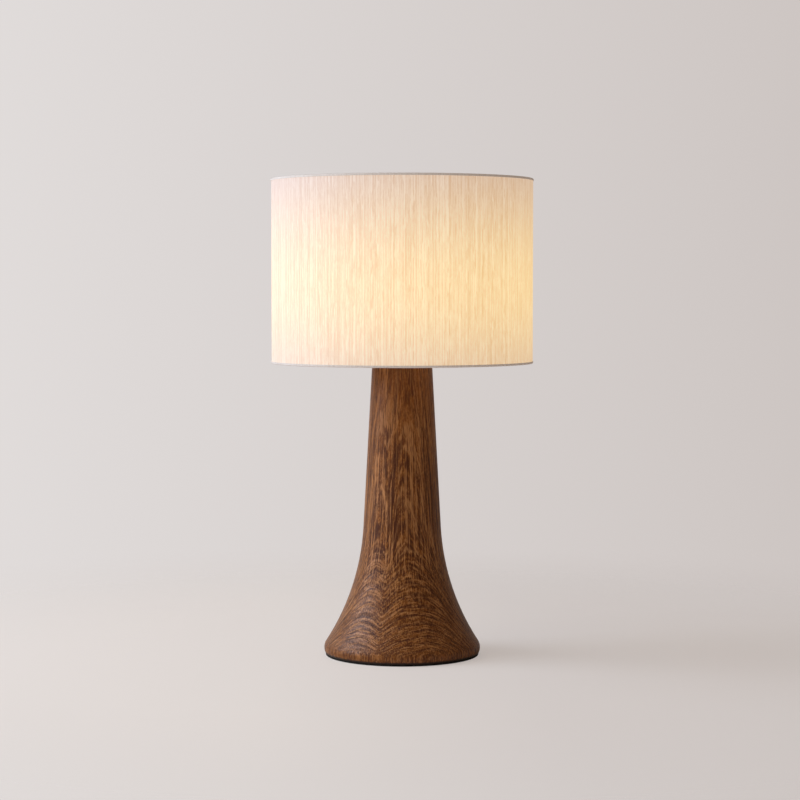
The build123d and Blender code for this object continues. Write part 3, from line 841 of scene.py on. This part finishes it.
LINER_SHEET = GlowingFinish(
    "lit_liner", rgb(0.86, 0.83, 0.78), rgb(0.8, 0.77, 0.71), 0.4, 0.55, scale=30.0,
    bright=rgb(0.24, 0.165, 0.08), dim=rgb(0.09, 0.055, 0.024), level=GLOW_LEVEL, reach=GLOW_REACH,
)
LIGHT_STRIP = GlowingFinish(
    "lit_strip", rgb(0.95, 0.78, 0.4), rgb(0.9, 0.72, 0.36), 0.5, 0.65,
    bright=rgb(1.0, 0.75, 0.4), dim=rgb(0.9, 0.62, 0.3), strength=10.0,
)
LINEN = LinenFinish(
    "slub_linen", rgb(0.267, 0.286, 0.3655), shadow=rgb(0.259, 0.276, 0.3505), dim=rgb(0.668, 0.507, 0.374),
    bright=rgb(0.965, 0.744, 0.393), thick=rgb(0.83, 0.685, 0.51),
)
LAPPED_LINEN = replace(LINEN, name="lapped_linen", dim=rgb(0.535, 0.4, 0.27), bright=rgb(0.8, 0.595, 0.285))
HEM_TAPE = LinenFinish(
    "rolled_hem", rgb(0.6, 0.575, 0.565), shadow=rgb(0.53, 0.505, 0.495), dim=rgb(0.18, 0.14, 0.115),
    bright=rgb(0.18, 0.14, 0.115),
)


def new_piece(name: str, points: Sequence[Vector], faces: Sequence[Sequence[int]]) -> Piece:
    """Mesh object with smooth faces and sharp corners, welded where points meet and linked into the scene.

    Args:
        name: The piece's name.
        points: Its corners.
        faces: Its faces, as indices of corners.

    Returns:
        The new object.
    """
    mesh = bpy.data.meshes.new(name)
    mesh.from_pydata([tuple(point) for point in points], [], faces)
    shell = bmesh.new()
    shell.from_mesh(mesh)
    bmesh.ops.remove_doubles(shell, verts=shell.verts, dist=WELD)
    shell.to_mesh(mesh)
    shell.free()
    mesh.shade_smooth()
    mesh.set_sharp_from_angle(angle=CORNER)
    piece = bpy.data.objects.new(name, mesh)
    SCENE.collection.objects.link(piece)
    return piece


def lathe(name: str, outline: Sequence[Span], segments: int, shift: Shift | None = None) -> Piece:
    """Turn a closed outline about the lamp's axis.

    Args:
        name: The piece's name.
        outline: Corners as (radius, height), counted so that the faces look outwards.
        segments: Steps round the axis.
        shift: How far a point moves outwards, from its radius, its height and its share of the turn.

    Returns:
        The new object.
    """
    points = []
    for step in range(segments):
        share = step / segments
        angle = FULL_TURN * share
        for radius, height in outline:
            moved = radius + (shift(radius, height, share) if shift else 0.0)
            points.append(Vector((moved * math.sin(angle), -moved * math.cos(angle), height)))
    count = len(outline)
    faces = []
    for step in range(segments):
        here, there = step * count, (step + 1) % segments * count
        for row in range(count):
            following = (row + 1) % count
            faces.append((here + row, there + row, there + following, here + following))
    return new_piece(name, points, faces)


def arc(centre: Span, radius: float, start: float, end: float, steps: int) -> list[Span]:
    """Points on an arc in an outline.

    Args:
        centre: Its centre, as (radius, height).
        radius: Its radius.
        start: Angle of the first point in degrees, from the outward direction.
        end: Angle of the last point.
        steps: Number of steps.

    Returns:
        The points.
    """
    angles = [math.radians(start + (end - start) * step / steps) for step in range(steps + 1)]
    return [(centre[0] + radius * math.cos(a), centre[1] + radius * math.sin(a)) for a in angles]


def dress_nodes(finish: Finish, *nodes: str) -> None:
    """Give nodes of the frame their finish.

    Args:
        finish: The finish.
        nodes: Names of the nodes.
    """
    for name in nodes:
        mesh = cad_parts[name].data
        mesh.materials.clear()
        mesh.materials.append(finish.material())
        log.info("%s: %s", name, finish.name)


def settle(piece: Piece, finish: Finish, body: Body, slot: str, *nodes: str) -> Piece:
    """Dress a new piece and put it in the place of nodes of the frame.

    Args:
        piece: The piece.
        finish: Its finish.
        body: The part of the lamp that it moves with.
        slot: Not used.
        nodes: Nodes that it stands for.

    Returns:
        The piece.
    """
    piece.data.materials.append(finish.material())
    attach(piece, body.value)
    if nodes:
        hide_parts(*nodes)
    log.info("%s: %s, %d faces", piece.name, finish.name, len(piece.data.polygons))
    return piece


@dataclass
class Thread:
    """Rolled screw thread on a sleeve.

    Attributes:
        crest: Outer radius.
        depth: Depth of the roots.
        pitch: Rise per turn.
        low: Height where it starts.
        high: Height where it ends.
        rows_per_turn: Rows of points to each turn.
    """

    crest: float
    depth: float
    pitch: float
    low: float
    high: float
    rows_per_turn: int = 10

    def rows(self) -> list[Span]:
        """Outline points up the thread, at the crest's radius."""
        count = math.ceil((self.high - self.low) / self.pitch * self.rows_per_turn)
        return [(self.crest, self.low + (self.high - self.low) * row / count) for row in range(count + 1)]

    def shift(self, radius: float, height: float, share: float) -> float:
        """How far the helix draws a point in.

        Args:
            radius: The point's radius.
            height: Its height.
            share: Its share of the turn.

        Returns:
            The outward shift, which is never positive.
        """
        if abs(radius - self.crest) > WELD or not self.low < height < self.high:
            return 0.0
        run_in = min(1.0, (height - self.low) / self.pitch, (self.high - height) / self.pitch)
        wave = 0.5 + 0.5 * math.cos(FULL_TURN * (height / self.pitch - share))
        return -self.depth * wave * run_in


@dataclass
class TurnedBase:
    """Turned wooden base with its pad, its ballast and the rod that clamps it."""

    pad_round: float = 0.4 * MM
    pad_bulge: float = 1.2 * MM
    pad_rings: Triple = (0.95, 0.5, 0.0)  # shares of the radius
    pad_steps: int = 8
    pad_segments: int = 160

    def build(self) -> None:
        """Make the pad as a soft disc that bulges a little at its rim."""
        low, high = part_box("foot_pad")
        radius = high.x + self.pad_bulge
        middle = (low.z + high.z) / 2
        rim = arc((radius - self.pad_round, middle), self.pad_round, -90, 90, self.pad_steps)
        top = [(radius * share, high.z) for share in self.pad_rings]
        bottom = [(radius * share, low.z) for share in reversed(self.pad_rings)]
        edge = [(r, middle + (z - middle) * (high.z - low.z) / 2 / self.pad_round) for r, z in rim]
        pad = lathe("soft_pad", bottom + edge + top, self.pad_segments)
        settle(pad, FOOT_RUBBER, Body.BASE, "foot_pad", "foot_pad")

    def dress(self) -> None:
        """Finish the solids of the base."""
        dress_nodes(STAINED_WOOD, "wood_column")
        dress_nodes(CAST_IRON, "ballast_disc")
        dress_nodes(
            ZINC_STEEL, "lamp_rod", "rod_bottom_washer", "rod_lock_washer", "rod_bottom_nut", "rod_top_nut"
        )
        dress_nodes(CAP_BRASS, "neck_cap")
        dress_nodes(BLACK_PLASTIC, "cord_bush")


@dataclass
class Lampholder:
    """Screw lampholder with its turn-knob switch."""

    wall: float = 2.3 * MM
    lip: float = 2.0 * MM
    lip_height: float = 3.0 * MM
    flange_height: float = 3.0 * MM
    sleeve: float = 20.0 * MM
    thread_depth: float = 0.9 * MM
    thread_pitch: float = 2.5 * MM
    thread_relief: float = 2.0 * MM
    segments: int = 120

    def build(self) -> None:
        """Make the upper shell with its long thread for the shade's ring."""
        low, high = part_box("holder_skirt")
        shelf = low.z + self.flange_height
        bore = self.sleeve - self.wall
        ends = (shelf + self.thread_relief, high.z - self.thread_relief)
        thread = Thread(self.sleeve, self.thread_depth, self.thread_pitch, *ends)
        outline = [
            (bore, low.z),
            (high.x, low.z),
            (high.x, shelf),
            (self.sleeve, shelf),
            *thread.rows(),
            (self.sleeve, high.z),
            (bore - self.lip, high.z),
            (bore - self.lip, high.z - self.lip_height + self.lip),
            (bore, high.z - self.lip_height),
        ]
        skirt = lathe("holder_thread_skirt", outline, self.segments, thread.shift)
        settle(skirt, HOLDER_PLASTIC, Body.BASE, "holder_plastic", "holder_skirt")

    def dress(self) -> None:
        """Finish the solids of the holder and the switch."""
        dress_nodes(HOLDER_PLASTIC, "holder_cap", "shade_clamp_ring")
        dress_nodes(BLACK_PLASTIC, "switch_block", "switch_rotor", "switch_knob")
        dress_nodes(ZINC_STEEL, "switch_spindle", "entry_insert", "holder_grub_screw")
        dress_nodes(CONTACT_BRASS, "screw_shell", "centre_contact", "terminal_screws")
        dress_nodes(INSERT_CERAMIC, "holder_insert")


@dataclass
class DrumShade:
    """Drum of linen on a stiff liner, with rolled hems, on a wire frame."""

    cloth: float = 0.6 * MM
    columns: int = 360
    rows: int = 60
    unevenness: float = 0.08 * MM
    uneven_round: float = 40.0  # waves per radian
    uneven_up: float = 60.0  # waves per metre
    hem: float = 0.5 * MM
    hem_depth: float = 2.2 * MM
    hem_round: float = 1.2 * MM
    hem_steps: int = 6
    lip_width: float = 5.8 * MM
    seam_width: float = 12.0 * MM
    seam_height: float = 0.35 * MM
    seam_root: float = 0.2 * MM
    seam_rise: float = 6.0  # slope of the folded edge, in heights per half width
    seam_steps: int = 16

    def build(self) -> None:
        """Make the cloth, its seam and both hems."""
        cloth = self.build_cloth()
        seam = self.build_seam()
        hems = [self.build_hem("shade_top_trim", -1.0), self.build_hem("shade_bottom_trim", 1.0)]

    def height(self) -> float:
        """Height of the cloth between the hems' crests."""
        low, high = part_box("shade_fabric")
        return high.z - low.z

    def levels(self) -> list[float]:
        """Heights of the rows of points up the cloth."""
        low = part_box("shade_fabric")[0].z
        return [low + self.height() * row / self.rows for row in range(self.rows + 1)]

    def build_cloth(self) -> Piece:
        """Drum of cloth with uneven threads.

        Returns:
            The piece.
        """
        low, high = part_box("shade_fabric")
        outer = high.x - self.unevenness
        inner = high.x - self.cloth
        outline = [(inner, low.z)] + [(outer, z) for z in self.levels()] + [(inner, high.z)]

        def shift(radius: float, height: float, share: float) -> float:
            """Unevenness of the threads, on the outside only.

            Args:
                radius: The point's radius.
                height: Its height.
                share: Its share of the turn.

            Returns:
                The outward shift.
            """
            if radius < outer:
                return 0.0
            x, y = (turn(FULL_TURN * share) * self.uneven_round for turn in (math.sin, math.cos))
            return self.unevenness * noise.noise(Vector((x, y, height * self.uneven_up)))

        cloth = lathe("linen_drum", outline, self.columns, shift)
        return settle(cloth, LINEN, Body.SHADE, "linen", "shade_fabric")

    def build_seam(self) -> Piece:
        """Overlap of the cloth at the rear, with a folded edge.

        Returns:
            The piece.
        """
        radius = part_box("shade_fabric")[1].x
        half = self.seam_width / 2 / radius
        sides = [-1 + 2 * step / self.seam_steps for step in range(self.seam_steps + 1)]
        rises = [min(1.0, (1 - side) * self.seam_rise) for side in sides]
        outline = [(side, radius + self.seam_height * rise) for side, rise in zip(sides, rises)]
        outline += [(side, radius - self.seam_root) for side in reversed(sides)]
        points = []
        for height in self.levels():
            for side, reach in outline:
                angle = math.pi + side * half
                points.append(Vector((reach * math.sin(angle), -reach * math.cos(angle), height)))
        count = len(outline)
        faces = [list(reversed(range(count))), list(range(self.rows * count, (self.rows + 1) * count))]
        for row in range(self.rows):
            for step in range(count):
                here, there = row * count + step, row * count + (step + 1) % count
                faces.append((here, there, there + count, here + count))
        seam = new_piece("linen_seam", points, faces)
        return settle(seam, LAPPED_LINEN, Body.SHADE, "linen")

    def build_hem(self, node: str, up: float) -> Piece:
        """Rolled hem over one edge of the drum.

        Args:
            node: The node that it stands for.
            up: 1 where its crest is at the bottom, -1 where it is at the top.

        Returns:
            The piece.
        """
        low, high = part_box(node)
        crest = low.z if up > 0 else high.z
        lip = crest + up * self.hem_depth
        outer, inner = high.x, high.x - self.lip_width
        round_z = crest + up * self.hem_round
        corners = ((outer - self.hem_round, 0), (inner + self.hem_round, -90 * up))
        outline = [(outer, lip)]
        for centre, start in corners:
            outline += arc((centre, round_z), self.hem_round, start, start - 90 * up, self.hem_steps)
        outline += [(inner, lip), (inner + self.hem, lip), (inner + self.hem, crest + up * self.hem)]
        outline += [(outer - self.hem, crest + up * self.hem), (outer - self.hem, lip)]
        if up > 0:
            outline.reverse()
        hem = lathe(node.replace("shade", "rolled").replace("trim", "hem"), outline, self.columns)
        return settle(hem, HEM_TAPE, Body.SHADE, "hem_tape", node)

    def dress(self) -> None:
        """Finish the solids of the shade."""
        dress_nodes(LINER_SHEET, "shade_liner")
        dress_nodes(WHITE_WIRE, "shade_top_ring", "shade_bottom_ring", "shade_arms", "shade_fitter_ring")


@dataclass
class OpalBulb:
    """Opal globe bulb with a screw cap."""

    wall: float = 0.4 * MM
    bead: float = 9.5 * MM
    neck: float = 11.9 * MM
    thread_depth: float = 0.85 * MM
    thread_pitch: float = 3.6 * MM
    thread_length: float = 13.0 * MM
    segments: int = 96

    def build(self) -> None:
        """Make the cap with its rolled thread."""
        low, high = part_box("bulb_cap")
        crest = high.x
        shoulder = low.z + crest - self.bead
        thread = Thread(crest, self.thread_depth, self.thread_pitch, shoulder, shoulder + self.thread_length)
        inner = crest - self.thread_depth - self.wall
        outline = [
            (self.bead - self.wall, low.z),
            (self.bead, low.z),
            *thread.rows(),
            (crest, high.z - self.wall),
            (crest - self.wall, high.z),
            (self.neck, high.z),
            (self.neck, thread.high),
            (inner, thread.high - self.wall),
            (inner, shoulder),
        ]
        cap = lathe("bulb_thread_cap", outline, self.segments, thread.shift)
        settle(cap, BULB_NICKEL, Body.BULB, "bulb_cap_metal", "bulb_cap")

    def dress(self) -> None:
        """Finish the solids of the bulb."""
        dress_nodes(OPAL_GLASS, "bulb_globe")
        dress_nodes(BEAD_GLASS, "bulb_insulator")
        dress_nodes(BULB_NICKEL, "bulb_tip", "bulb_support_wires")
        dress_nodes(STEM_GLASS, "bulb_stem")
        dress_nodes(LIGHT_STRIP, "bulb_filaments")


@dataclass
class SoftBox:
    """Large soft lamp of the studio.

    Attributes:
        name: Its name.
        place: Where it stands.
        size: Its width and height.
        power: Its power in watts.
        colour: Colour of its light.
        mirrored: Whether glossy surfaces show it.
    """

    name: str
    place: Triple
    size: float
    power: float
    colour: Triple
    mirrored: bool = True

    def build(self) -> None:
        """Put the lamp up, pointing at the middle of the table lamp."""
        data = bpy.data.lights.new(self.name, "AREA")
        data.shape = "SQUARE"
        data.size = self.size
        data.energy = self.power
        data.color = self.colour
        lamp = bpy.data.objects.new(self.name, data)
        lamp.location = self.place
        lamp.visible_glossy = self.mirrored
        lamp.rotation_euler = (MIDDLE - Vector(self.place)).to_track_quat("-Z", "Y").to_euler()
        SCENE.collection.objects.link(lamp)


@dataclass
class Studio:
    """Pale floor, soft light and camera."""

    camera_place: Triple = (-0.0021, -2.1431, 0.3611)
    camera_pitch: float = 3.017  # degrees down
    lens: float = 99.4  # millimetres
    sensor: float = 36.0  # millimetres
    floor_radius: float = 3.0
    floor_hole: float = 70.0 * MM
    floor_sides: int = 96
    floor_gap: float = 0.2 * MM
    floor_seen: Span = (0.3, 0.9)  # distances over which it fades away
    floor_colour: Colour = rgb(0.84, 0.79, 0.76)
    floor_glow_left: Colour = rgb(0.90, 0.825, 0.78)
    floor_glow_right: Colour = rgb(0.79, 0.725, 0.70)
    floor_glow_spread: float = 0.12
    floor_lift: float = 0.5  # share of its own light in what is seen
    floor_roughness: float = 0.8
    floor_gloss: float = 0.2
    backdrop_left: Colour = rgb(0.76, 0.725, 0.715)
    backdrop_right: Colour = rgb(0.60, 0.55, 0.53)
    backdrop_spread: float = 0.21
    mirror_away: Span = (0.35, 0.95)  # directions to the rear in which gloss comes to show the backdrop
    mirror_across: Span = (0.2, 0.6)  # directions to the right in which it shows less of it
    mirror_least: float = 0.1
    ambient: Colour = rgb(0.172, 0.14, 0.108)
    boxes: tuple[SoftBox, ...] = (
        SoftBox("left_window", (-1.8, -0.05, 1.2), 1.5, 33.5, (0.86, 0.965, 1.11)),
        SoftBox("front_fill", (-1.8, -1.9, 0.95), 1.6, 17.0, (0.99, 0.99, 0.94), mirrored=False),
        SoftBox("overhead", (0.0, -0.2, 2.4), 1.6, 2.0, (1.0, 0.98, 0.97)),
    )

    def build(self) -> None:
        """Set the whole studio up."""
        SCENE.view_settings.view_transform = "Standard"
        self.build_camera()
        self.build_world()
        self.build_floor()
        for box in self.boxes:
            box.build()

    def build_camera(self) -> None:
        """Camera at the photograph's viewing angle."""
        data = bpy.data.cameras.new("camera")
        data.lens = self.lens
        data.sensor_width = self.sensor
        camera = bpy.data.objects.new("camera", data)
        camera.location = self.camera_place
        camera.rotation_euler = (math.radians(90 - self.camera_pitch), 0.0, 0.0)
        SCENE.collection.objects.link(camera)
        SCENE.camera = camera

    def build_world(self) -> None:
        """Pale backdrop for what is seen directly or in gloss, and a plain level of light on the rest."""
        world = bpy.data.worlds.new("studio")
        world.use_nodes = True
        SCENE.world = world
        graph = Graph(world.node_tree)
        path = graph.add("LightPath").outputs
        across, away, _ = graph.split(graph.place("Generated"))
        mirrored = graph.times(path["Is Glossy Ray"], graph.remap(away, *self.mirror_away))
        mirrored = graph.times(mirrored, graph.remap(across, *self.mirror_across, 1.0, self.mirror_least))
        seen = graph.math("MAXIMUM", path["Is Camera Ray"], path["Is Transmission Ray"])
        seen = graph.math("MAXIMUM", seen, mirrored)
        share = graph.remap(across, -self.backdrop_spread, self.backdrop_spread)
        backdrop = graph.mix(share, self.backdrop_left, self.backdrop_right)
        graph.fit(world.node_tree.nodes["Background"], Color=graph.mix(seen, self.ambient, backdrop))

    def build_floor(self) -> None:
        """Ring of floor round the foot."""
        count = self.floor_sides
        angles = [FULL_TURN * step / count for step in range(count)]
        rims = (self.floor_hole, self.floor_radius)
        corners = [Vector((math.cos(a), math.sin(a), 0.0)) * rim for rim in rims for a in angles]
        pairs = [(step, (step + 1) % count) for step in range(count)]
        faces = [(count + here, count + there, there, here) for here, there in pairs]
        floor = new_piece("floor", corners, faces)
        floor.location.z = -self.floor_gap
        floor.data.materials.append(self.floor_material())

    def floor_material(self) -> bpy.types.Material:
        """Floor that fades into the backdrop, is open from below and lets light reach the pad.

        Returns:
            The material.
        """
        material = bpy.data.materials.new("floor")
        material.use_nodes = True
        graph = Graph(material.node_tree)
        place = graph.place()
        camera_ray = graph.add("LightPath").outputs["Is Camera Ray"]
        lift = graph.times(camera_ray, self.floor_lift)
        across = graph.remap(graph.split(place)[0], -self.floor_glow_spread, self.floor_glow_spread)
        distance = graph.add("VectorMath", {"operation": "LENGTH"}, Vector=place).outputs["Value"]
        fade = graph.remap(distance, *self.floor_seen, smooth=True)
        under = graph.add("NewGeometry").outputs["Backfacing"]
        hidden = graph.times(graph.math("MAXIMUM", fade, under), camera_ray)
        graph.fit(
            material.node_tree.nodes["Principled BSDF"],
            Base_Color=graph.mix(lift, self.floor_colour, BLACK),
            Emission_Color=graph.mix(across, self.floor_glow_left, self.floor_glow_right),
            Emission_Strength=lift,
            Roughness=self.floor_roughness,
            Specular_IOR_Level=self.floor_gloss,
            Alpha=graph.math("SUBTRACT", 1.0, hidden),
        )
        return material


def main() -> None:
    """Build and dress each sub-assembly, then set the studio up."""
    logging.basicConfig(level=logging.INFO, format="%(name)s %(message)s")
    for assembly in (TurnedBase(), Lampholder(), DrumShade(), OpalBulb()):
        log.info("building %s", type(assembly).__name__)
        assembly.build()
        assembly.dress()
    Studio().build()


if __name__ == "__main__":
    main()
